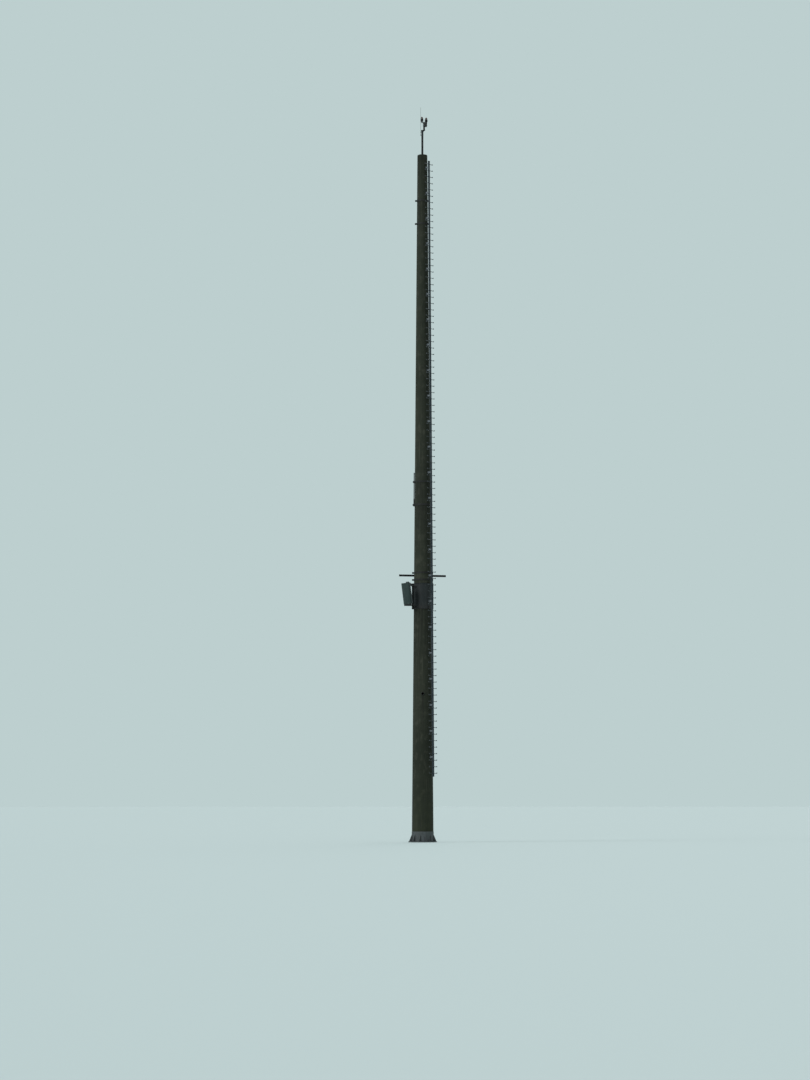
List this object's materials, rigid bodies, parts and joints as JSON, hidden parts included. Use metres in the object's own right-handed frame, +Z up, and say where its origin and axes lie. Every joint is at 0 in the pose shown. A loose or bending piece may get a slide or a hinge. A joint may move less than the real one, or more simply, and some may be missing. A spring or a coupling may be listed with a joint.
{
  "type": "concrete radio mast",
  "caption": "Tall tapered concrete radio mast with a centre-post ladder, obstruction lights, band clamps, a rod antenna, a crossbar and a flat panel antenna.",
  "frame": {"origin": "on the mast's axis, at the underside of its foot flange", "axes": "+Z up the mast; -Y towards the side that the picture shows; +X to its right"},
  "size_m": [2.0374, 1.4096, 32.156],
  "materials": {
    "spun_concrete": "weathered spun concrete with algae and rain streaks",
    "cap_concrete": "weathered cast concrete",
    "foot_steel": "hot-dip galvanised steel under grey paint",
    "galvanised_steel": "dull hot-dip galvanised steel",
    "clamp_steel": "dark weathered steel",
    "collar_steel": "dark grey painted steel, streaked",
    "pole_steel": "dark weathered steel tube",
    "lamp_housing": "dark cast housing",
    "lamp_lens": "dark red ribbed glass",
    "box_grey": "dark grey moulded box",
    "antenna_white": "weathered grey glass-fibre tube",
    "panel_grey": "light grey weathered plastic cover",
    "panel_alloy": "dull aluminium tray",
    "rod_alloy": "dull aluminium rod",
    "outlet_plastic": "black moulded sleeve"
  },
  "bodies": {
    "root": {"antenna_arms": "clamp_steel", "antenna_clamp_high": "clamp_steel", "antenna_clamp_low": "clamp_steel", "base_flange": "foot_steel", "cable_outlet": "outlet_plastic", "collar_back_half": "collar_steel", "collar_front_half": "collar_steel", "concrete_shaft": "spun_concrete", "crossbar": "pole_steel", "crossbar_caps": "clamp_steel", "crossbar_clamps": "clamp_steel", "crossbar_saddle": "clamp_steel", "fall_arrest_rail": "galvanised_steel", "junction_box": "box_grey", "junction_box_lid": "box_grey", "ladder_brackets": "galvanised_steel", "ladder_post_1": "galvanised_steel", "ladder_post_2": "galvanised_steel", "ladder_post_3": "galvanised_steel", "ladder_post_4": "galvanised_steel", "ladder_post_5": "galvanised_steel", "ladder_rungs_1": "galvanised_steel", "ladder_rungs_2": "galvanised_steel", "ladder_rungs_3": "galvanised_steel", "ladder_rungs_4": "galvanised_steel", "ladder_rungs_5": "galvanised_steel", "ladder_splices": "galvanised_steel", "lamp_arm": "pole_steel", "lamp_bases": "lamp_housing", "lamp_crossbar": "pole_steel", "lamp_lenses": "lamp_lens", "lightning_rod": "rod_alloy", "panel_bracket_lower": "clamp_steel", "panel_bracket_upper": "clamp_steel", "panel_connectors": "galvanised_steel", "panel_cover": "panel_grey", "panel_sill": "clamp_steel", "panel_tray": "panel_alloy", "pole_socket": "pole_steel", "rod_antenna": "antenna_white", "rod_clips": "galvanised_steel", "top_cap": "cap_concrete", "top_pole": "pole_steel", "upper_clamp_high": "clamp_steel", "upper_clamp_low": "clamp_steel"}
  },
  "joints": []
}
